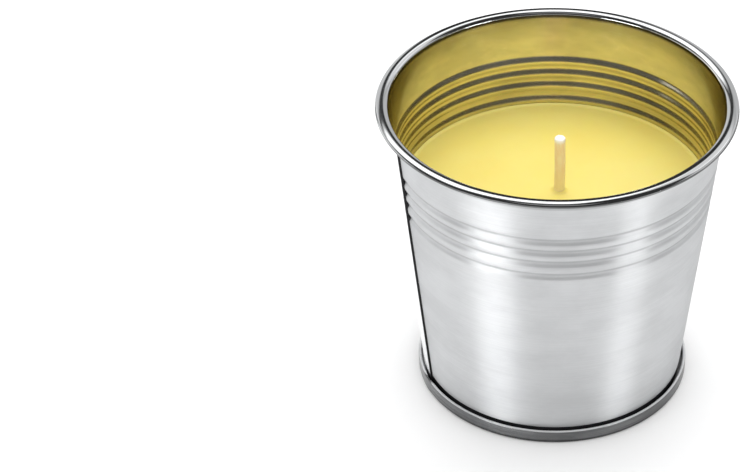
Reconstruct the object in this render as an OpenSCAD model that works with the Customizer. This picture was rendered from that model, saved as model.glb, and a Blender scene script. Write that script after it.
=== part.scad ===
// Citronella candle in a small tinplate bucket.
// Millimetres, +Z up. The origin is on the table, under the centre of the base.
// The front is -Y. Angles are counted from +X towards +Y.

/* [Bucket wall] */
// Height from the table to the top of the rolled rim
height = 98.6; // [85:0.1:125]
// Outer diameter over the rolled rim
rim_d = 110; // [102:0.5:125]
// Thickness of the tinplate sheet
sheet_t = 0.3; // [0.24:0.01:0.34]

/* [Rolled rim] */
// Width of the flattened curl, from the mouth to its outer edge
rim_w = 3.9; // [3.4:0.1:4.6]
// Height of the flattened curl
rim_h = 1.7; // [1.5:0.1:2.2]
// Angle at which the sheet's end stops below the curl, from the outside
curl_end = 130; // [110:1:135]

/* [Ribs] */
// Number of ribs pressed inwards below the rim
rib_n = 4; // [2:1:5]
// Depth of the first rib's middle below the top of the rim
rib_first = 17; // [12:0.1:20]
// Distance from one rib to the next
rib_pitch = 4.3; // [4.2:0.1:5]
// Distance from the last rib but one to the last
rib_last = 4.9; // [4.2:0.1:6]
// Width of one rib, measured up the wall
rib_w = 4.1; // [3.6:0.1:4.1]
// How deep a rib is pressed into the wall
rib_depth = 0.6; // [0.3:0.05:0.75]

/* [Side lock seam] */
// Angle of the seam round the bucket
lock_az = 198.5; // [0:0.5:359]
// Width of the raised strip
lock_w = 7; // [4:0.1:9]
// How far the strip stands out of the wall
lock_h = 0.7; // [0.4:0.05:1]

/* [Base seam] */
// Outer diameter of the folded seam round the base
seam_d = 85; // [76:0.5:90]
// Height of the folded seam
seam_h = 4.6; // [3.8:0.1:6]
// Radius of the seam's bottom corner
seam_r = 1.1; // [1:0.05:1.5]
// Room between the folded sheets
seam_fit = 0.05; // [0.03:0.01:0.08]
// Room between the base's hook and the side seam
hook_gap = 0.15; // [0.1:0.01:0.3]
// Radius of the bend at the bottom of the wall
wall_bend = 0.5; // [0.4:0.05:0.7]

/* [Base plate] */
// How far the middle of the base plate is raised
panel_lift = 2.0; // [1:0.1:3.5]
// Width of the flat ring that the bucket stands on
stand_w = 3.2; // [2:0.1:5]
// Width of the slope up to the raised middle
panel_slope = 1.6; // [1:0.1:3]

/* [Wax] */
// Depth of the wax below the top of the rim
wax_drop = 31.7; // [25:0.1:45]
// Gap that the wax leaves to the sheet as it shrinks
wax_gap = 0.08; // [0.05:0.01:0.15]
// Height of the wax edge that clings to the wall
edge_h = 0.5; // [0.2:0.05:1]
// Width of the wax edge that clings to the wall
edge_w = 1.4; // [0.8:0.1:2.5]

/* [Wick] */
// Diameter of the wick
wick_d = 3.45; // [2:0.05:5]
// Length of the wick above the wax
wick_out = 19.6; // [8:0.1:24]
// Place of the wick to the right of the centre
wick_x = 1.3; // [-4:0.1:4]
// Place of the wick behind the centre
wick_y = -1.5; // [-4:0.1:4]
// Radius of the wick's cut end
wick_tip = 0.6; // [0.2:0.05:0.9]
// Width of the wax collar that climbs the wick
collar_w = 1.3; // [0.6:0.1:2]
// Height of the wax collar that climbs the wick
collar_h = 0.7; // [0.3:0.1:1.5]

/* [Wick sustainer] */
// Diameter of the metal tab under the wick
tab_d = 20; // [14:0.5:26]
// Thickness of the tab's sheet
tab_t = 0.25; // [0.2:0.01:0.35]
// Height of the neck that grips the wick
neck_h = 7; // [4:0.5:10]
// Room between the wick and the neck
neck_fit = 0.04; // [0.02:0.01:0.08]
// Radius where the neck spreads into the tab
neck_r = 1; // [0.5:0.1:2]

/* [Hidden] */
$fn = 96;

// sheet layers of the base seam, from the outside to the wall
layer = sheet_t + seam_fit;
seam_o = seam_d / 2;
face_m = seam_o - sheet_t / 2;
flange_m = face_m - layer;
hook_m = flange_m - layer;
foot_m = hook_m - sheet_t - hook_gap - lock_h;
corner = [seam_o - seam_r, seam_r];
fold_z = seam_h - sheet_t / 2 - layer;

// curl of the rim, as a flattened ellipse of the sheet's middle line
curl_a = (rim_w - sheet_t) / 2;
curl_b = (rim_h - sheet_t) / 2;
curl_r = rim_d / 2 - rim_w / 2;
curl_z = height - rim_h / 2;

// straight wall between the seam's top and the curl's inner side
lean = (curl_r - curl_a - foot_m) / (curl_z - seam_h);
lean_a = atan(lean);
cone_m = function(z) foot_m + (z - seam_h) * lean;

// ribs
rib_z = [for (i = [0:rib_n - 1])
    height - rib_first - i * rib_pitch - (i == rib_n - 1 ? rib_last - rib_pitch : 0)];
dent = function(u) abs(u) < 1 ? (1 + cos(180 * u)) / 2 : 0;
ribs_in = function(z, i = 0) i >= rib_n ? 0 :
    rib_depth * dent((z - rib_z[i]) / (rib_w / 2)) + ribs_in(z, i + 1);
wall_m = function(z) cone_m(z) - ribs_in(z);
rib_steps = [for (i = [rib_n - 1:-1:0], k = [-6:6]) rib_z[i] + k / 6 * rib_w / 2];

// base plate and wax
plate_z = panel_lift + sheet_t;
stand_o = corner[0];
stand_i = stand_o - stand_w;
panel_r = stand_i - panel_slope;
wax_z = height - wax_drop;
wick_z = wax_z + wick_out;
wick_r = wick_d / 2;
neck_i = wick_r + neck_fit;
neck_o = neck_i + tab_t;

// points on an arc of the sheet's middle line
function arc(c, r, a0, a1, n) =
    [for (i = [0:n]) let (a = a0 + (a1 - a0) * i / n) c + r * [cos(a), sin(a)]];
function unit(v) = v / norm(v);
function across(p, q) = let (u = unit(q - p)) [u[1], -u[0]];
function miter(a, b) = let (m = unit(a + b)) m / (m * a);
// the line p moved sideways by d
function beside(p, d) = let (n = len(p) - 1)
    [for (i = [0:n]) let (
        a = across(p[max(i - 1, 0)], p[max(i, 1)]),
        b = across(p[min(i, n - 1)], p[min(i + 1, n)])
    ) p[i] + miter(a, b) * d];
function back(p) = [for (i = [len(p) - 1:-1:0]) p[i]];
// outline of a strip of sheet between two distances from its middle line
function strip(p, d0, d1) = concat(beside(p, d1), back(beside(p, d0)));

bend_z = corner[1] - (seam_r - sheet_t / 2 - layer) + wall_bend;
bend_c = [cone_m(bend_z + wall_bend * sin(lean_a)) + wall_bend * cos(lean_a), bend_z];

// the wall's middle line, from the bend at its bottom to the curl
wall_line = concat(
    [for (z = concat([bend_z + 0.6], rib_steps, [curl_z - rim_h])) [wall_m(z), z]]);
// the whole sheet, from the flange inside the base seam to the end of the curl
body_line = concat(
    [[flange_m, fold_z - seam_fit]],
    arc(corner, seam_r - sheet_t / 2 - layer, 0, -90, 6),
    arc(bend_c, wall_bend, -90, -180 - lean_a, 7),
    wall_line,
    [for (i = [0:26]) let (a = 178 - (178 + curl_end) * i / 26)
        [curl_r + curl_a * cos(a), curl_z + curl_b * sin(a)]]);
// the base plate's sheet, from the centre to the end of its hook
base_line = concat(
    [[0, plate_z - sheet_t / 2], [panel_r, plate_z - sheet_t / 2], [stand_i, sheet_t / 2]],
    arc(corner, seam_r - sheet_t / 2, -90, 0, 8),
    arc([flange_m, fold_z], layer, 0, 180, 10),
    [[hook_m, seam_r + seam_fit]]);

// the side seam's raised strip, which stays straight where it crosses the ribs
module raised_seam() {
    span = lock_w / (2 * PI * cone_m(height / 2)) * 360;
    crest = [for (z = [wall_line[0][1], curl_z - rim_h]) [cone_m(z), z]];
    rotate(lock_az - span / 2) rotate_extrude(angle = span)
        polygon(concat(beside(crest, sheet_t / 2 + lock_h), back(wall_line)));
}

// one folded sheet: wall with ribs, rolled rim, side lock seam and bottom flange
module body() color([0.80, 0.81, 0.82]) {
    rotate_extrude() polygon(strip(body_line, -sheet_t / 2, sheet_t / 2));
    raised_seam();
}

// raised base plate whose edge is folded over the wall's flange
module base() color([0.62, 0.63, 0.64])
    rotate_extrude() polygon(strip(base_line, -sheet_t / 2, sheet_t / 2));

// the wax's side, a shrinkage gap inside the wall
function wax_side(z) = wall_m(z) - (sheet_t / 2) / cos(lean_a) - wax_gap;
wax_top = wax_z + edge_h;
wax_rise = [for (z = rib_steps) if (z > bend_z + 1 && z < wax_top - 0.1) z];

module wax() color([0.98, 0.91, 0.50])
    difference() {
        union() {
            rotate_extrude() polygon(concat(
                [[0, plate_z], [panel_r + sheet_t / 2, plate_z],
                 [stand_i + sheet_t, sheet_t + seam_fit],
                 [wax_side(bend_z) - wall_bend, sheet_t + seam_fit]],
                [for (z = concat([bend_z + 0.8], wax_rise, [wax_top])) [wax_side(z), z]],
                [for (i = [0:6]) let (u = i / 6)
                    [wax_side(wax_top) - 0.1 - edge_w * u, wax_z + edge_h * (1 - u) * (1 - u)]],
                [[0, wax_z]]));
            translate([wick_x, wick_y, wax_z - 0.5]) rotate_extrude() polygon(concat(
                [[0, 0], [wick_r + collar_w, 0]],
                [for (i = [0:6]) let (u = i / 6)
                    [wick_r + collar_w * (1 - u), 0.5 + collar_h * u * u]],
                [[0, 0.5 + collar_h]]));
        }
        translate([wick_x, wick_y, 0]) {
            cylinder(r = wick_r + neck_fit, h = height);
            cylinder(r = tab_d / 2 + wax_gap, h = plate_z + tab_t + wax_gap);
            cylinder(r = neck_o + wax_gap, h = plate_z + neck_h + wax_gap);
            translate([0, 0, plate_z + tab_t]) cylinder(
                r1 = neck_o + neck_r + wax_gap * 2, r2 = neck_o + wax_gap,
                h = neck_r + wax_gap * 2);
        }
    }

// waxed cotton wick, standing on the base plate
module wick() color([0.92, 0.80, 0.56])
    translate([wick_x, wick_y, 0]) rotate_extrude() polygon(concat(
        [[0, plate_z], [wick_r, plate_z]],
        arc([wick_r - wick_tip, wick_z - wick_tip], wick_tip, 0, 90, 5),
        [[0, wick_z]]));

// round metal tab with a neck that grips the wick
module wick_sustainer() color([0.70, 0.71, 0.72])
    translate([wick_x, wick_y, plate_z]) rotate_extrude() polygon(concat(
        [[neck_i, 0], [tab_d / 2, 0], [tab_d / 2, tab_t]],
        arc([neck_o + neck_r, tab_t + neck_r], neck_r, -90, -180, 6),
        [[neck_o, neck_h], [neck_i, neck_h]]));

body();
base();
wax();
wick();
wick_sustainer();
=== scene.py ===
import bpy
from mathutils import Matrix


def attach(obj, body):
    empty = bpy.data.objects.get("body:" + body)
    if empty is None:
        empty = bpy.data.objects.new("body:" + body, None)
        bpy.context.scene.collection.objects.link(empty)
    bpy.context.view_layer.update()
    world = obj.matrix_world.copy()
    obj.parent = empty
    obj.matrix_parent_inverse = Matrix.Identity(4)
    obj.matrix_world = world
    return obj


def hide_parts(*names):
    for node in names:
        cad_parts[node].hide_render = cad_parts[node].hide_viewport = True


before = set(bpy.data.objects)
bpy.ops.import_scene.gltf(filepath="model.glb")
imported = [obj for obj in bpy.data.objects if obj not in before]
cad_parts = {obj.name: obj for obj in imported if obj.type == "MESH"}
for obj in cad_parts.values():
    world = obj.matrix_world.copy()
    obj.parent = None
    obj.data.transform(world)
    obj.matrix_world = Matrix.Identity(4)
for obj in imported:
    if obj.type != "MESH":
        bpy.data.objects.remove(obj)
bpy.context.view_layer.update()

from math import atan, cos, degrees, hypot, pi, radians, sin

import bmesh
import bpy
from mathutils import Matrix, Vector

MM = 0.001

# camera, in metres, fitted to the photograph's ellipses of the rim and the base seam
RIM_PLANE = 0.09794
CAM_DIST = 0.935
CAM_ELEV = radians(33.107)
CAM_YAW = radians(4.1941)
CAM_PITCH = radians(35.5643)
CAM_ROLL = radians(-1.3106)
FOCAL_PX = 3087.6
IMAGE_W_PX = 740
SENSOR_MM = 36


def make_camera():
    """Stands in front of the rim's middle and above it, then is turned, tilted and rolled."""
    forward = Vector((0, cos(CAM_PITCH), -sin(CAM_PITCH)))
    right = Vector((1, 0, 0))
    up = right.cross(forward)
    turn = Matrix.Rotation(CAM_YAW, 3, "Z")
    forward, right, up = turn @ forward, turn @ right, turn @ up
    c, s = cos(CAM_ROLL), sin(CAM_ROLL)
    right, up = c * right + s * up, c * up - s * right
    data = bpy.data.cameras.new("camera")
    data.sensor_fit = "HORIZONTAL"
    data.sensor_width = SENSOR_MM
    data.lens = FOCAL_PX * SENSOR_MM / IMAGE_W_PX
    data.clip_start = 0.01
    data.clip_end = 50
    cam = bpy.data.objects.new("camera", data)
    bpy.context.scene.collection.objects.link(cam)
    spot = Vector((0, -CAM_DIST * cos(CAM_ELEV), RIM_PLANE + CAM_DIST * sin(CAM_ELEV)))
    turned = Matrix((right, up, -forward)).transposed().to_4x4()
    cam.matrix_world = Matrix.Translation(spot) @ turned
    bpy.context.scene.camera = cam


make_camera()
bpy.context.scene.view_settings.view_transform = "Standard"

# sizes in millimetres, with the names and values of the part's source
HEIGHT = 98.6               # to the top of the rolled rim
RIM_D = 110.0               # over the rolled rim
SHEET_T = 0.3               # thickness of the tinplate
RIM_W = 3.9                 # width of the rim's flattened curl
RIM_H = 1.7                 # height of the curl
CURL_END = 130              # degrees from the curl's outside to the sheet's end below it
RIB_N = 4
RIB_FIRST = 17.0            # from the top to the first rib's middle
RIB_PITCH = 4.3
RIB_LAST = 4.9              # from the last rib but one to the last
RIB_W = 4.1
RIB_DEPTH = 0.6
LOCK_AZ = radians(198.5)    # angle of the side seam, from +X towards +Y
LOCK_W = 7.0                # width of its raised strip
LOCK_H = 0.7                # how far the strip stands out
SEAM_D = 85.0               # over the folded seam round the base
SEAM_H = 4.6
SEAM_R = 1.1                # radius of the seam's bottom corner
SEAM_FIT = 0.05             # room between the folded sheets
HOOK_GAP = 0.15             # room between the base's hook and the side seam
WALL_BEND = 0.5             # radius of the bend at the bottom of the wall
PANEL_LIFT = 2.0            # how far the middle of the base plate is raised
STAND_W = 3.2               # width of the ring that the bucket stands on
PANEL_SLOPE = 1.6           # width of the slope up to the raised middle
WAX_DROP = 31.7             # from the top to the wax
WAX_GAP = 0.08              # gap that the wax leaves to the sheet
EDGE_H = 0.5                # height of the wax edge that clings to the wall
EDGE_W = 1.4                # width of that edge
WICK_D = 3.45
WICK_OUT = 19.6             # length of the wick above the wax
WICK_X = 1.3
WICK_Y = -1.5
WICK_TIP = 0.6              # radius round the wick's cut end
COLLAR_W = 1.3              # width of the wax collar that climbs the wick
COLLAR_H = 0.7              # height of the collar

# derived sizes, where M is the radius of the sheet's middle
LAYER = SHEET_T + SEAM_FIT
SEAM_O = SEAM_D / 2
FLANGE_M = SEAM_O - SHEET_T / 2 - LAYER
HOOK_M = FLANGE_M - LAYER
FOOT_M = HOOK_M - SHEET_T - HOOK_GAP - LOCK_H
CORNER = (SEAM_O - SEAM_R, SEAM_R)
FLANGE_R = SEAM_R - SHEET_T / 2 - LAYER
FOLD_Z = SEAM_H - SHEET_T / 2 - LAYER
BEND_Z = CORNER[1] - FLANGE_R + WALL_BEND
CURL_A = (RIM_W - SHEET_T) / 2
CURL_B = (RIM_H - SHEET_T) / 2
CURL_R = RIM_D / 2 - RIM_W / 2
CURL_Z = HEIGHT - RIM_H / 2
WALL_TOP = CURL_Z - RIM_H
LEAN = (CURL_R - CURL_A - FOOT_M) / (CURL_Z - SEAM_H)
LEAN_A = atan(LEAN)
RIB_Z = [HEIGHT - RIB_FIRST - i * RIB_PITCH for i in range(RIB_N)]
RIB_Z[-1] -= RIB_LAST - RIB_PITCH
STAND_I = CORNER[0] - STAND_W
PANEL_R = STAND_I - PANEL_SLOPE
PLATE_Z = PANEL_LIFT + SHEET_T
WAX_Z = HEIGHT - WAX_DROP
WICK_Z = WAX_Z + WICK_OUT
WICK_R = WICK_D / 2


def cone_m(z):
    """Radius of the wall's middle at the height z, without the ribs."""
    return FOOT_M + (z - SEAM_H) * LEAN


def dent(u):
    """A cosine bump: 1 in the middle and 0 from one unit away."""
    return (1 + cos(pi * u)) / 2 if abs(u) < 1 else 0.0


def wall_m(z):
    """Radius of the wall's middle at the height z, with the ribs."""
    return cone_m(z) - RIB_DEPTH * sum(dent((z - c) / (RIB_W / 2)) for c in RIB_Z)


def ramp(x, lo, hi):
    """Rises smoothly from 0 at lo to 1 at hi."""
    u = min(max((x - lo) / (hi - lo), 0), 1)
    return u * u * (3 - 2 * u)


def angle_from(a, centre):
    """The angle from centre to a, between -pi and pi."""
    return (a - centre + pi) % (2 * pi) - pi


def arc(centre, radius, start, end, steps):
    """Points on an arc from start to end, in degrees."""
    angles = [radians(start + (end - start) * i / steps) for i in range(steps + 1)]
    return [(centre[0] + radius * cos(a), centre[1] + radius * sin(a)) for a in angles]


def normal(a, b):
    """The unit vector square to the way from a to b."""
    x, z = b[0] - a[0], b[1] - a[1]
    length = hypot(x, z)
    return (z / length, -x / length)


def beside(line, distance):
    """The line moved sideways, mitred at its points."""
    moved = []
    last = len(line) - 1
    for i, (x, z) in enumerate(line):
        before = normal(line[max(i - 1, 0)], line[max(i, 1)])
        after = normal(line[min(i, last - 1)], line[min(i + 1, last)])
        mx, mz = before[0] + after[0], before[1] + after[1]
        k = hypot(mx, mz)
        mx, mz = mx / k, mz / k
        k = mx * before[0] + mz * before[1]
        moved.append((x + mx / k * distance, z + mz / k * distance))
    return moved


# mesh helpers
COLUMNS = 240
AROUND = [2 * pi * i / COLUMNS for i in range(COLUMNS)]
ON_AXIS = 1e-6
SHARP = 35
SHARP_WICK = 60


def new_piece(name, verts, faces, sharp=SHARP):
    """A smooth mesh object whose edges are sharp from that angle on, in degrees."""
    mesh = bpy.data.meshes.new(name)
    mesh.from_pydata(verts, [], faces)
    bm = bmesh.new()
    bm.from_mesh(mesh)
    bmesh.ops.recalc_face_normals(bm, faces=bm.faces)
    bm.to_mesh(mesh)
    bm.free()
    mesh.shade_smooth()
    mesh.set_sharp_from_angle(angle=radians(sharp))
    obj = bpy.data.objects.new(name, mesh)
    bpy.context.scene.collection.objects.link(obj)
    return obj


def turned_points(outline, angles, shift):
    """The vertices in metres, and their numbers row by row. A point on the axis is one vertex."""
    verts, rows = [], []
    for i, (r, z) in enumerate(outline):
        if r < ON_AXIS:
            rows.append([len(verts)] * len(angles))
            verts.append((0, 0, z * MM))
            continue
        rows.append(range(len(verts), len(verts) + len(angles)))
        for a in angles:
            dr, dz = shift(i, a)
            verts.append(((r + dr) * MM * cos(a), (r + dr) * MM * sin(a), (z + dz) * MM))
    return verts, rows


def revolve(name, outline, angles, shift, closed=False, finish=None):
    """An outline of (r, z) points in mm turned round the axis. shift(i, a) gives (dr, dz) of point i
    at the angle a, and finish(i, k) the material of the face after row i and column k."""
    verts, rows = turned_points(outline, angles, shift)
    faces, finishes = [], []
    for i in range(len(rows) if closed else len(rows) - 1):
        row, next_row = rows[i], rows[(i + 1) % len(rows)]
        for k in range(len(angles)):
            m = (k + 1) % len(angles)
            corners = dict.fromkeys((row[k], row[m], next_row[m], next_row[k]))
            if len(corners) > 2:
                faces.append(list(corners))
                finishes.append(finish(i, k) if finish else 0)
    obj = new_piece(name, verts, faces)
    obj.data.polygons.foreach_set("material_index", finishes)
    return obj


# folded wall sheet: flange in the base seam, bend, ribbed wall and rolled rim
OUTSIDE, RIM, INSIDE, GAP_SHADE, WORN_HIGHLIGHT, UNDER_SHADE = range(6)   # places of the wall's materials
FOOT_SHADE_TOP = 5.1             # the crevice's shade is painted black on the wall up to here
UNDER_TOP = 0.25            # the painted shade on the rim's underside ends this far above the curl's middle
BEND_STEPS = 8
RIB_STEPS = 10
CURL_START = 178            # degrees, where the wall runs into the curl's inner side
CURL_STEPS = 36
# heights of the wall's rows, closer where the finish or the side seam changes
LOW_ROWS = [BEND_Z + 0.6, 3, 4, FOOT_SHADE_TOP, 6.2, 7.5, 10, 16, 24, 34, 44, 54, 62]
RIB_ROWS = [middle + k / RIB_STEPS * RIB_W / 2
            for middle in reversed(RIB_Z) for k in range(-RIB_STEPS, RIB_STEPS + 1)]
HIGH_ROWS = [84.2, 86, 88.5, 91, 93, 94.6, 95.4, WALL_TOP]

bend_centre = (cone_m(BEND_Z + WALL_BEND * sin(LEAN_A)) + WALL_BEND * cos(LEAN_A), BEND_Z)
flange = [(FLANGE_M, FOLD_Z - SEAM_FIT)]
flange += arc(CORNER, FLANGE_R, 0, -90, BEND_STEPS)
flange += arc(bend_centre, WALL_BEND, -90, -180 - degrees(LEAN_A), BEND_STEPS)
wall = [(wall_m(z), z) for z in LOW_ROWS + RIB_ROWS + HIGH_ROWS]
curl_turns = [radians(CURL_START - (CURL_START + CURL_END) * i / CURL_STEPS) for i in range(CURL_STEPS + 1)]
curl = [(CURL_R + CURL_A * cos(a), CURL_Z + CURL_B * sin(a)) for a in curl_turns]
sheet = flange + wall + curl
outer_face = beside(sheet, SHEET_T / 2)
inner_face = beside(sheet, -SHEET_T / 2)
wall_outline = outer_face + inner_face[::-1]
wall_start = len(flange)
wall_end = wall_start + len(wall)
inner_curl_end = len(sheet) + len(curl)

# the side seam's section: a line to measure from, which is the strip's edge or middle, the finish
# there, and the points, each a distance across from that line and a height over the wall
LOCK_R = cone_m(HEIGHT / 2)         # turns a distance across into an angle
HALF = LOCK_W / 2
# the strip's worn top and the bright line beside its gap are smoother and paler, the paleness a painted
# highlight
STRIP = [(-HALF, OUTSIDE, [(-0.6, 0.0), (-0.4, 0.03), (-0.2, 0.14), (0, 0.33), (0.2, 0.52)]),
         (-HALF, WORN_HIGHLIGHT, [(0.4, 0.64), (0.6, 0.69), (1.0, LOCK_H)]),
         (0, WORN_HIGHLIGHT, [(-1.2, LOCK_H), (0, LOCK_H), (1.2, LOCK_H)]),
         (HALF, WORN_HIGHLIGHT, [(-0.5, LOCK_H), (-0.2, 0.69)]),
         # the face of the gap at the strip's edge is painted black as shade
         (HALF, GAP_SHADE, [(-0.08, 0.66), (-0.02, 0.60), (0, 0.40)]),
         (HALF, WORN_HIGHLIGHT, [(0.02, 0.10), (0.15, 0.09), (0.35, 0.07)]),
         (HALF, OUTSIDE, [(0.6, 0.04), (0.9, 0.015), (1.3, 0.0)])]
STRIP_START = (1.2, 2.2)    # the strip rises between these heights, inside the base seam
STRIP_FADE = 1              # and fades out over this height under the rim

strip_height, strip_finish = {}, {}
for edge, finish, points in STRIP:
    for across, height in points:
        angle = LOCK_AZ + (edge + across) / LOCK_R
        strip_height[angle] = height
        strip_finish[angle] = finish
strip_angles = sorted(strip_height)
wall_angles = [a for a in AROUND if not strip_angles[0] < a < strip_angles[-1]]
wall_angles = sorted(wall_angles + strip_angles)


def stand_out(i, a):
    """The side seam's strip stands out of the wall's outer face, and bridges the ribs."""
    if a not in strip_height or not wall_start <= i < wall_end:
        return (0, 0)
    middle_z, face_z = sheet[i][1], outer_face[i][1]
    out = strip_height[a] * (1 + (cone_m(middle_z) - wall_m(middle_z)) / LOCK_H)
    ends = ramp(face_z, *STRIP_START) * (1 - ramp(face_z, WALL_TOP - STRIP_FADE, WALL_TOP))
    return (out * ends, 0)


def wall_finish(i, k):
    """The finish of the wall's face after row i and column k."""
    if i < wall_start:
        return OUTSIDE
    if i < wall_end - 1:
        # low on the wall the crevice's shade is painted black, elsewhere the strip's own finish
        return GAP_SHADE if sheet[i][1] < FOOT_SHADE_TOP else strip_finish.get(wall_angles[k], OUTSIDE)
    if i >= inner_curl_end - 1:
        return INSIDE
    r, z = wall_outline[i]
    # the curl's outer lower part gets the painted shade of the rim's underside
    return UNDER_SHADE if r > CURL_R and z < CURL_Z + UNDER_TOP else RIM


body = revolve("bucket_wall", wall_outline, wall_angles, stand_out, closed=True, finish=wall_finish)

# base plate with its folded edge, pinched a little where the side seam runs into it
EASE = 0.3                  # length over which the slope's corners are eased
EASE_Z = 0.06               # and height
SEAM_ROWS = (1.6, 2.4, 3.2)
CORNER_STEPS = 10
FOLD_STEPS = 14
PINCH_AZ = LOCK_AZ + radians(5)
PINCH_R = HOOK_M - 1        # only the fold outside this radius is pinched
PINCH_W = 4.5               # half width of the pinch
PINCH_IN = 0.12
PINCH_DOWN = 0.35
PINCH_LOW = 0.4             # share of the seam's height where it starts to go down instead of in
PINCH_SPAN = 0.14           # half of the angle that has closer columns
PINCH_COLUMNS = 24

plate_m = PLATE_Z - SHEET_T / 2
base_line = [(0, plate_m), (PANEL_R * 0.5, plate_m), (PANEL_R - EASE, plate_m)]
base_line += [(PANEL_R, plate_m - EASE_Z), (STAND_I, SHEET_T / 2 + EASE_Z), (STAND_I + EASE, SHEET_T / 2)]
base_line += arc(CORNER, SEAM_R - SHEET_T / 2, -90, 0, CORNER_STEPS)
base_line += [(SEAM_O - SHEET_T / 2, z) for z in SEAM_ROWS]
base_line += arc((FLANGE_M, FOLD_Z), LAYER, 0, 180, FOLD_STEPS)
base_line.append((HOOK_M, SEAM_R + SEAM_FIT))
base_outline = beside(base_line, SHEET_T / 2) + beside(base_line, -SHEET_T / 2)[::-1]
base_angles = [a for a in AROUND if abs(angle_from(a, PINCH_AZ)) > PINCH_SPAN]
base_angles += [PINCH_AZ - PINCH_SPAN + 2 * PINCH_SPAN * i / PINCH_COLUMNS
                for i in range(PINCH_COLUMNS + 1)]
base_angles.sort()


def pinch(i, a):
    """The fold is drawn in below and down above, near the side seam."""
    r, z = base_outline[i]
    if r < PINCH_R:
        return (0, 0)
    near = dent(angle_from(a, PINCH_AZ) * r / PINCH_W)
    up = ramp(z, SEAM_H * PINCH_LOW, SEAM_H)
    return (PINCH_IN * near * (1 - up), -PINCH_DOWN * near * up)


base = revolve("base_plate", base_outline, base_angles, pinch)

# wax, with an edge that clings to the wall and a collar round the wick
WAX_SEAT = 0.02             # gap over the base plate
WAX_ROWS = [2.6, 8, 16, 24, 32, 40, 48, 56, 62]
ROW_GAP = 0.08              # no row lies closer than this to the top of the edge
EDGE_BEVEL = 0.1            # from the wax's side to the top of its edge
EDGE_STEPS = 10
RINGS = 35
RING_W = 1.0
FINE_RINGS = 24             # closer rings round the wick
FINE_RING_W = 0.35
FINE_R = 8.5
WAVE_H = 0.05               # slow waves of the surface
WAVES_ROUND = 3
WAVE_TWIST = 0.13
WAVE_FROM_EDGE = (1, 12)    # the waves grow between these distances from the edge
WAVE_FROM_MIDDLE = (2, 9)   # and from the middle


def wax_side(z):
    """Radius of the wax at the height z."""
    return wall_m(z) - (SHEET_T / 2) / cos(LEAN_A) - WAX_GAP


wax_top = WAX_Z + EDGE_H
edge_r = wax_side(wax_top) - EDGE_BEVEL
wax_outline = [(0, PLATE_Z + WAX_SEAT), (PANEL_R + SHEET_T / 2, PLATE_Z + WAX_SEAT),
               (STAND_I + SHEET_T, LAYER), (wax_side(BEND_Z) - WALL_BEND, LAYER)]
wax_outline += [(wax_side(z), z) for z in WAX_ROWS + RIB_ROWS if z < wax_top - ROW_GAP]
wax_outline.append((wax_side(wax_top), wax_top))
for i in range(EDGE_STEPS + 1):
    u = i / EDGE_STEPS
    wax_outline.append((edge_r - EDGE_W * u, WAX_Z + EDGE_H * (1 - u) ** 2))
surface_start = len(wax_outline)
wax_outline += [(edge_r - EDGE_W - k * RING_W, WAX_Z) for k in range(1, RINGS + 1)]
wax_outline += [(FINE_R - k * FINE_RING_W, WAX_Z) for k in range(FINE_RINGS)]
wax_outline.append((0, WAX_Z))


def wax_rise(i, a):
    """The surface climbs the wick and has slow waves away from its middle and its edge."""
    if i < surface_start:
        return (0, 0)
    r = wax_outline[i][0]
    from_wick = hypot(r * cos(a) - WICK_X, r * sin(a) - WICK_Y) - WICK_R
    u = min(max(1 - from_wick / COLLAR_W, 0), 1)
    wave = WAVE_H * sin(WAVES_ROUND * a + r * WAVE_TWIST)
    return (0, COLLAR_H * u * u + wave * ramp(edge_r - r, *WAVE_FROM_EDGE) * ramp(r, *WAVE_FROM_MIDDLE))


wax = revolve("wax_fill", wax_outline, AROUND, wax_rise)

# wick, braided and a little bowed above the wax, with a frayed cut end
WICK_COLUMNS = 64
BRAID_ROW = 0.22            # height of a row of the braid
BRAID_ROUND = 4             # half of the braid's ridges round the wick
BRAID_TWIST = 2.1           # radians per millimetre
BRAID_DEPTH = 0.045
BOW = 0.10
BOW_BEND = 0.22             # radians per millimetre
FRAY = 0.14
FRAY_H = 0.4                # height over which the end frays
FRAYS_ROUND = 5
FRAY_TURN = 1.3
FRAYS_ACROSS = 4            # radians per millimetre
TIP_STEPS = 6
END_RINGS = (0.5, 0.3, 0.12)


def wick_rows():
    """Radius and height of each row, from the plate to the middle of the cut end."""
    heights = [PLATE_Z, PLATE_Z + 8, WAX_Z - 2]
    heights += [WAX_Z - 1 + BRAID_ROW * k for k in range(int((WICK_OUT + 0.2) / BRAID_ROW))]
    rows = [(WICK_R, z) for z in heights if z < WICK_Z - WICK_TIP - 0.1]
    rows += arc((WICK_R - WICK_TIP, WICK_Z - WICK_TIP), WICK_TIP, 0, 90, TIP_STEPS)
    return rows + [(WICK_R * share, WICK_Z) for share in END_RINGS]


def wick_point(r, z, a):
    """A point of the wick in metres, moved from its plain place by braid, bow and fray."""
    free = ramp(z, WAX_Z - 1, WAX_Z + 1)
    braid = sin(BRAID_ROUND * a + BRAID_TWIST * z) * sin(BRAID_ROUND * a - BRAID_TWIST * z)
    drawn = r - BRAID_DEPTH * free * (1 - braid) * min(1, r / WICK_R)
    bow = BOW * free * sin((z - WAX_Z) * BOW_BEND)
    fray = FRAY * ramp(z, WICK_Z - FRAY_H, WICK_Z) * sin(FRAYS_ROUND * a + FRAY_TURN)
    fray *= sin(r * FRAYS_ACROSS)
    return ((WICK_X + bow + drawn * cos(a)) * MM, (WICK_Y + drawn * sin(a)) * MM, (z + fray) * MM)


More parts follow.
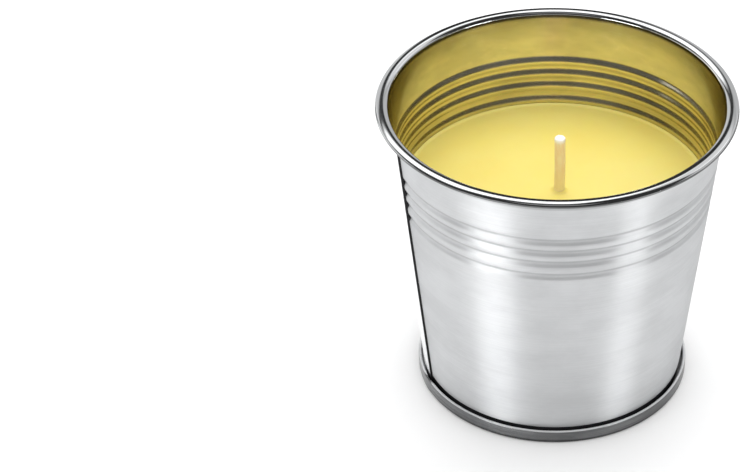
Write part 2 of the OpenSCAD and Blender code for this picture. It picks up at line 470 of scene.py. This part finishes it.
def make_wick():
    rows = wick_rows()
    n = WICK_COLUMNS
    verts = [wick_point(r, z, 2 * pi * k / n) for r, z in rows for k in range(n)]
    faces = []
    for i in range(len(rows) - 1):
        for k in range(n):
            m = (k + 1) % n
            faces.append((i * n + k, i * n + m, (i + 1) * n + m, (i + 1) * n + k))
    faces.append(tuple(range(n))[::-1])
    faces.append(tuple(range((len(rows) - 1) * n, len(rows) * n)))
    return new_piece("cotton_wick", verts, faces, SHARP_WICK)


wick = make_wick()

# material helpers
MIX_A, MIX_B, MIX_OUT = 6, 7, 2     # the Mix node's sockets for colours
NOISE_LOW, NOISE_HIGH = 0.3, 0.7    # nearly all of a noise lies between these


def new_material(name):
    mat = bpy.data.materials.new(name)
    mat.use_nodes = True
    nt = mat.node_tree
    return mat, nt, nt.nodes["Principled BSDF"]


def node(nt, kind, **properties):
    n = nt.nodes.new(kind)
    for key, value in properties.items():
        setattr(n, key, value)
    return n


def set_inputs(n, values):
    for name, value in values.items():
        n.inputs[name].default_value = value


def link(nt, a, b):
    nt.links.new(a, b)


def noise(nt, scale, detail=3, rough=0.5):
    """Noise in object space, with that many waves in a metre along x, y and z."""
    place = node(nt, "ShaderNodeTexCoord")
    stretch = node(nt, "ShaderNodeMapping")
    set_inputs(stretch, {"Scale": scale})
    link(nt, place.outputs["Object"], stretch.inputs["Vector"])
    n = node(nt, "ShaderNodeTexNoise")
    set_inputs(n, {"Scale": 1.0, "Detail": detail, "Roughness": rough})
    link(nt, stretch.outputs["Vector"], n.inputs["Vector"])
    return n.outputs["Fac"]


def remap(nt, value, low, high, at_low, at_high):
    n = node(nt, "ShaderNodeMapRange")
    set_inputs(n, {"From Min": low, "From Max": high, "To Min": at_low, "To Max": at_high})
    link(nt, value, n.inputs["Value"])
    return n.outputs["Result"]


def from_noise(nt, value, at_low=0, at_high=1):
    return remap(nt, value, NOISE_LOW, NOISE_HIGH, at_low, at_high)


def height_above(nt, low, high):
    """0 at the height low and 1 at high, which may be the lower one, in mm."""
    place = node(nt, "ShaderNodeTexCoord")
    parts = node(nt, "ShaderNodeSeparateXYZ")
    link(nt, place.outputs["Object"], parts.inputs["Vector"])
    return remap(nt, parts.outputs["Z"], low * MM, high * MM, 0, 1)


def maths(nt, operation, a, b=0):
    """A Math node. Each of a and b is a number or a socket."""
    n = node(nt, "ShaderNodeMath", operation=operation)
    for place, value in enumerate((a, b)):
        if isinstance(value, (int, float)):
            n.inputs[place].default_value = value
        else:
            link(nt, value, n.inputs[place])
    return n.outputs[0]


def mix_color(nt, share, a, b, blend="MIX"):
    """From a to b as share goes from 0 to 1. Each of a and b is a colour or a socket."""
    n = node(nt, "ShaderNodeMix", data_type="RGBA", blend_type=blend)
    link(nt, share, n.inputs["Factor"])
    for place, value in ((MIX_A, a), (MIX_B, b)):
        if isinstance(value, tuple):
            n.inputs[place].default_value = (*value, 1)
        else:
            link(nt, value, n.inputs[place])
    return n.outputs[MIX_OUT]


def multiply_color(nt, share, color, amount):
    """The colour times amount, one number or three, where share is 1."""
    factors = amount if isinstance(amount, tuple) else (amount, amount, amount)
    return mix_color(nt, share, color, factors, "MULTIPLY")


def bump(nt, bsdf, height, strength, distance):
    """Dents the surface by height, over that distance in mm."""
    n = node(nt, "ShaderNodeBump")
    set_inputs(n, {"Strength": strength, "Distance": distance * MM})
    link(nt, height, n.inputs["Height"])
    link(nt, n.outputs["Normal"], bsdf.inputs["Normal"])


def shader_and_color(mat):
    """The material's nodes and shader, and the socket that its colour comes from."""
    nt = mat.node_tree
    bsdf = nt.nodes["Principled BSDF"]
    return nt, bsdf, bsdf.inputs["Base Color"].links[0].from_socket


def shade(mat, amount, start, full, end=None, gone=None):
    """Multiplies the colour by amount beyond the height full, fading in from start. Where end is
    given, it fades out again from end to gone."""
    nt, bsdf, color = shader_and_color(mat)
    share = height_above(nt, start, full)
    if end is not None:
        share = maths(nt, "MINIMUM", share, height_above(nt, gone, end))
    link(nt, multiply_color(nt, share, color, amount), bsdf.inputs["Base Color"])


# tinplate
MARKS = (25, 25, 5200)      # fine marks round the axis
CLOUD = (35, 35, 60)        # slow changes of gloss
PATCHES = (42, 42, 95)      # stains
PATCH_LOW, PATCH_HIGH = 0.42, 0.62
MARK_DEPTH = 0.03
ACROSS = 0.25               # a quarter turn, so that gloss stretches across the marks
# colour and metallic of the painted highlight along the base seam's top edge
TOP_HIGHLIGHT_COLOR = (0.66, 0.67, 0.68)
TOP_HIGHLIGHT_METALLIC = 0.3


def tinplate(name, dark, light, rough, grain, spread=0.5, relief=0.12, edge=(1, 1, 1), stain=1.0):
    """Tinned steel between two colours. grain is how far its roughness changes, spread its
    anisotropy, edge its tint at grazing angles and stain what its patches multiply it by."""
    mat, nt, bsdf = new_material(name)
    marks = noise(nt, MARKS, 4, 0.6)
    color = mix_color(nt, from_noise(nt, marks), dark, light)
    patches = remap(nt, noise(nt, PATCHES, 5, 0.62), PATCH_LOW, PATCH_HIGH, 0, 1)
    link(nt, multiply_color(nt, patches, color, stain), bsdf.inputs["Base Color"])
    set_inputs(bsdf, {"Metallic": 1.0, "Specular Tint": (*edge, 1)})
    set_inputs(bsdf, {"Anisotropic": spread, "Anisotropic Rotation": ACROSS})
    gloss = maths(nt, "ADD", from_noise(nt, marks, rough - grain, rough + grain),
                  from_noise(nt, noise(nt, CLOUD), -grain, grain))
    link(nt, gloss, bsdf.inputs["Roughness"])
    bump(nt, bsdf, marks, relief, MARK_DEPTH)
    tangent = node(nt, "ShaderNodeTangent", direction_type="RADIAL", axis="Z")
    link(nt, tangent.outputs["Tangent"], bsdf.inputs["Tangent"])
    return mat


def outer_tinplate():
    """Satin, with painted shade under the rim and a painted dark line along the middle of each rib."""
    mat = tinplate("satin_tinplate", (0.66, 0.67, 0.68), (0.74, 0.75, 0.76), rough=0.46, grain=0.03,
                   spread=0.90, edge=(0.6, 0.6, 0.6), stain=0.92)
    # painted shadow of the rim on the wall below it
    shade(mat, 0.6, start=WALL_TOP - 2.4, full=WALL_TOP - 1.2)
    for z in RIB_Z:
        # painted shade: a dark line along the middle of each rib
        shade(mat, 0.72, start=z - 0.35, full=z + 0.15, end=z + 0.45, gone=z + 1.0)
    return mat


def inner_tinplate():
    """Warm, with a painted yellow reflection of the wax low down, painted shade higher up and a painted
    dark shadow right under the rim.
    """
    mat = tinplate("inner_tinplate", (0.72, 0.69, 0.56), (0.80, 0.76, 0.65), rough=0.19, grain=0.02,
                   spread=0.4, relief=0.05, edge=(0.7, 0.67, 0.58), stain=0.80)
    # painted reflection of the yellow wax on the lower wall
    shade(mat, (1.0, 0.95, 0.72), start=84, full=81)
    # painted shade towards the rim
    shade(mat, 0.75, start=90, full=95)
    # painted shadow right under the rim
    shade(mat, 0.2, start=96.6, full=97.1)
    return mat


def seam_tinplate():
    """Dark, with a painted contact shadow at the floor and a painted highlight along its upper edge, which
    is paler and less metallic.
    """
    mat = tinplate("seam_tinplate", (0.10, 0.102, 0.105), (0.23, 0.233, 0.237), rough=0.30, grain=0.05,
                   spread=0.6, stain=0.72)
    # painted contact shadow near the floor
    shade(mat, 0.3, start=1.6, full=1.0)
    nt, bsdf, color = shader_and_color(mat)
    # painted highlight along the top edge
    top_highlight = height_above(nt, SEAM_H - 0.35, SEAM_H - 0.15)
    link(nt, mix_color(nt, top_highlight, color, TOP_HIGHLIGHT_COLOR), bsdf.inputs["Base Color"])
    link(nt, remap(nt, top_highlight, 0, 1, 1, TOP_HIGHLIGHT_METALLIC), bsdf.inputs["Metallic"])
    return mat


# the polished rim, the worn top of the side seam's strip with its painted highlight, the painted shade of
# the rim's underside and the wick's tab
rim_mat = tinplate("rolled_tinplate", (0.80, 0.81, 0.82), (0.84, 0.85, 0.86), rough=0.08, grain=0.01,
                   spread=0.3, relief=0.0)
# worn smoother than the wall, and paler as a painted highlight
worn_highlight_mat = tinplate("worn_highlight_tinplate", (0.76, 0.77, 0.78), (0.82, 0.83, 0.84), rough=0.18, grain=0.01,
                    spread=0.3, relief=0.03)
# dark grey as painted shade under the rim
under_shade_mat = tinplate("rim_underside_shade_tinplate", (0.13, 0.132, 0.135), (0.18, 0.183, 0.186), rough=0.30, grain=0.02,
                     spread=0.3, relief=0.03)
tab_mat = tinplate("tab_tinplate", (0.60, 0.61, 0.62), (0.70, 0.71, 0.72), rough=0.30, grain=0.02)


def painted_gap_shade():
    """Nearly black painted shade in the gaps of the seams."""
    mat, nt, bsdf = new_material("painted_gap_shade")
    # a faint mottle in the painted shade
    shade_mottle = noise(nt, (900, 900, 300))
    link(nt, mix_color(nt, shade_mottle, (0.008, 0.008, 0.009), (0.02, 0.02, 0.022)), bsdf.inputs["Base Color"])
    set_inputs(bsdf, {"Roughness": 0.7, "Specular IOR Level": 0.2})
    return mat


def citronella_wax():
    """Yellow and a little translucent, with a fine unevenness in its gloss."""
    mat, nt, bsdf = new_material("citronella_wax")
    cloud = noise(nt, (40, 40, 40))
    color = mix_color(nt, from_noise(nt, cloud), (0.99, 0.79, 0.19), (1.0, 0.83, 0.24))
    link(nt, color, bsdf.inputs["Base Color"])
    set_inputs(bsdf, {"Subsurface Weight": 0.35, "Subsurface Radius": (1.0, 0.7, 0.25),
                      "Subsurface Scale": 1.2 * MM, "Specular IOR Level": 0.9})
    fine = noise(nt, (300, 300, 300))
    link(nt, from_noise(nt, fine, 0.40, 0.48), bsdf.inputs["Roughness"])
    bump(nt, bsdf, fine, 0.1, 0.2)
    return mat


def waxed_cotton():
    """Cotton that has drawn up wax, lighter and yellower near it as painted light, with a white cut end."""
    mat, nt, bsdf = new_material("waxed_cotton")
    fibre = noise(nt, (1500, 1500, 260), 4, 0.6)
    color = mix_color(nt, from_noise(nt, fibre), (0.96, 0.72, 0.37), (1.0, 0.86, 0.52))
    # painted light on the wick's lower part near the wax, against the shade at its foot
    color = mix_color(nt, height_above(nt, WAX_Z + 9, WAX_Z), color, (1.0, 0.84, 0.44))
    color = mix_color(nt, height_above(nt, WICK_Z - 1.7, WICK_Z - 0.5), color, (0.98, 0.96, 0.92))
    link(nt, color, bsdf.inputs["Base Color"])
    set_inputs(bsdf, {"Roughness": 0.6, "Subsurface Weight": 0.3, "Subsurface Radius": (1.0, 0.8, 0.5),
                      "Subsurface Scale": 0.6 * MM})
    bump(nt, bsdf, fibre, 0.4, 0.1)
    return mat


def assign(obj, *mats):
    for mat in mats:
        obj.data.materials.append(mat)


# in the order of the outside, the rim, the inside, the painted gap shade, the worn strip with its painted
# highlight and the painted shade under the rim
assign(body, outer_tinplate(), rim_mat, inner_tinplate(), painted_gap_shade(), worn_highlight_mat, under_shade_mat)
assign(base, seam_tinplate())
assign(wax, citronella_wax())
assign(wick, waxed_cotton())
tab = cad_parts["wick_sustainer"]
for slot in tab.material_slots:
    slot.material = tab_mat

for piece, cad_node, slot in ((body, "body", "wall_sheet"), (base, "base", "base_sheet"),
                              (wax, "wax", "wax"), (wick, "wick", "wick")):
    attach(piece, "root")
    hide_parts(cad_node)

# floor, in metres
FLOOR_R = 4
FLOOR_SIDES = 96
FLOOR_DROP = 0.05 * MM      # just under the base, so that the two don't touch
FLOOR_COLOR = (0.88, 0.88, 0.88)
FLOOR_SEEN = 0.06           # added where the camera sees the floor
FLOOR_MIRRORED = 0.19       # added where metal mirrors it


def pale_floor():
    mat = bpy.data.materials.new("pale_floor")
    mat.use_nodes = True
    nt = mat.node_tree
    nt.nodes.clear()
    out = node(nt, "ShaderNodeOutputMaterial")
    diffuse = node(nt, "ShaderNodeBsdfDiffuse")
    set_inputs(diffuse, {"Color": (*FLOOR_COLOR, 1)})
    glow = node(nt, "ShaderNodeEmission")
    ray = node(nt, "ShaderNodeLightPath")
    seen = maths(nt, "MULTIPLY", ray.outputs["Is Camera Ray"], FLOOR_SEEN)
    mirrored = maths(nt, "MULTIPLY", ray.outputs["Is Glossy Ray"], FLOOR_MIRRORED)
    link(nt, maths(nt, "ADD", seen, mirrored), glow.inputs["Strength"])
    both = node(nt, "ShaderNodeAddShader")
    link(nt, diffuse.outputs[0], both.inputs[0])
    link(nt, glow.outputs[0], both.inputs[1])
    link(nt, both.outputs[0], out.inputs["Surface"])
    return mat


def make_floor():
    mesh = bpy.data.meshes.new("floor")
    turns = [2 * pi * k / FLOOR_SIDES for k in range(FLOOR_SIDES)]
    verts = [(0, 0, 0)] + [(FLOOR_R * cos(a), FLOOR_R * sin(a), 0) for a in turns]
    faces = [(0, 1 + k, 1 + (k + 1) % FLOOR_SIDES) for k in range(FLOOR_SIDES)]
    mesh.from_pydata(verts, [], faces)
    floor = bpy.data.objects.new("floor", mesh)
    floor.location.z = -FLOOR_DROP
    bpy.context.scene.collection.objects.link(floor)
    assign(floor, pale_floor())


# studio: the metal mirrors a dark room with lit panels, and an even light falls from all sides
ROOM_DARK = 0.03
AMBIENT = 1.06              # even light from all sides, for all rays but the mirrored ones
# degrees round from the front, right counted up, centre and half width; degrees above the
# horizon, lowest and highest edge; softness of the edges in degrees; strength
PANELS = [(-162, 22, 37.5, 60, 3, 1.4),     # left behind, high
          (-157, 11, -5, 30, 3, 0.6),       # left behind, low
          (160, 13, -5, 31, 3, 0.5),        # right behind, low
          (158, 16, 35, 50, 3, 0.75),       # right behind, high
          (122, 24, 18, 48, 4, 0.5),        # right
          (-122, 24, 16, 34, 4, 0.4),       # left
          (0, 180, 80, 95, 4, 0.22),        # overhead
          (-41, 12, -2, 7, 2, 11.5),        # bright strip in front, left
          (53, 8, -2, 7, 2, 9.5),           # bright strip in front, right
          (-105, 26, -2, 15, 5, 1.05),      # left, low
          (0, 90, 8, 34, 6, 0.10),          # faint front wall
          (0, 75, -6, 4, 3, 0.8)]           # horizon in front


def panel(nt, azimuth, elevation, centre, half, low, high, soft, strength):
    """How brightly one panel shines in a direction."""
    turn = maths(nt, "WRAP", maths(nt, "SUBTRACT", azimuth, centre), 180)
    turn.node.inputs[2].default_value = -180    # the lower end of the wrapped range
    side = remap(nt, maths(nt, "ABSOLUTE", turn), half, half + soft, 1, 0)
    bottom = remap(nt, elevation, low - soft, low, 0, 1)
    top = remap(nt, elevation, high, high + soft, 1, 0)
    inside = maths(nt, "MULTIPLY", side, maths(nt, "MULTIPLY", bottom, top))
    return maths(nt, "MULTIPLY", inside, strength)


def room_light(nt):
    """The dark room with its panels, by direction."""
    place = node(nt, "ShaderNodeTexCoord")
    way = node(nt, "ShaderNodeSeparateXYZ")
    link(nt, place.outputs["Generated"], way.inputs["Vector"])
    to_front = maths(nt, "MULTIPLY", way.outputs["Y"], -1)
    azimuth = maths(nt, "DEGREES", maths(nt, "ARCTAN2", way.outputs["X"], to_front))
    elevation = maths(nt, "DEGREES", maths(nt, "ARCSINE", way.outputs["Z"]))
    room = ROOM_DARK
    for values in PANELS:
        room = maths(nt, "ADD", room, panel(nt, azimuth, elevation, *values))
    return room


def make_world():
    """White for the camera, the room for glossy rays and an even light for all others."""
    world = bpy.data.worlds.new("studio")
    bpy.context.scene.world = world
    world.cycles.sampling_method = "NONE"
    world.use_nodes = True
    nt = world.node_tree
    nt.nodes.clear()
    out = node(nt, "ShaderNodeOutputWorld")
    background = node(nt, "ShaderNodeBackground")
    set_inputs(background, {"Color": (1, 1, 1, 1)})
    ray = node(nt, "ShaderNodeLightPath")
    camera, glossy = ray.outputs["Is Camera Ray"], ray.outputs["Is Glossy Ray"]
    mirrored = maths(nt, "MULTIPLY", room_light(nt), glossy)
    seen = maths(nt, "MAXIMUM", camera, ray.outputs["Is Transmission Ray"])
    other = maths(nt, "SUBTRACT", 1, maths(nt, "MAXIMUM", camera, glossy))
    ambient = maths(nt, "MULTIPLY", other, AMBIENT)
    strength = maths(nt, "ADD", maths(nt, "MAXIMUM", seen, mirrored), ambient)
    link(nt, strength, background.inputs["Strength"])
    link(nt, background.outputs[0], out.inputs["Surface"])


# lamps, aimed at the bucket's middle, in metres and watts
LAMP_TARGET = Vector((0, 0, 0.05))


def softbox(name, spot, size, power):
    """A rectangular lamp that is neither seen nor mirrored."""
    data = bpy.data.lights.new(name, "AREA")
    data.shape = "RECTANGLE"
    data.size, data.size_y = size
    data.energy = power
    lamp = bpy.data.objects.new(name, data)
    bpy.context.scene.collection.objects.link(lamp)
    lamp.location = spot
    aim = LAMP_TARGET - Vector(spot)
    lamp.rotation_euler = aim.to_track_quat("-Z", "Y").to_euler()
    lamp.visible_camera = False
    lamp.visible_glossy = False


make_floor()
make_world()
softbox("softbox_top", (0.0, 0.62, 1.5), (1.3, 0.9), 9)
softbox("softbox_front", (0.1, -1.2, 0.8), (1.2, 0.8), 3.0)
softbox("softbox_left", (-1.1, -0.75, 0.75), (0.5, 1.0), 0.8)
softbox("softbox_right", (1.2, -0.5, 0.75), (0.4, 1.0), 0.8)
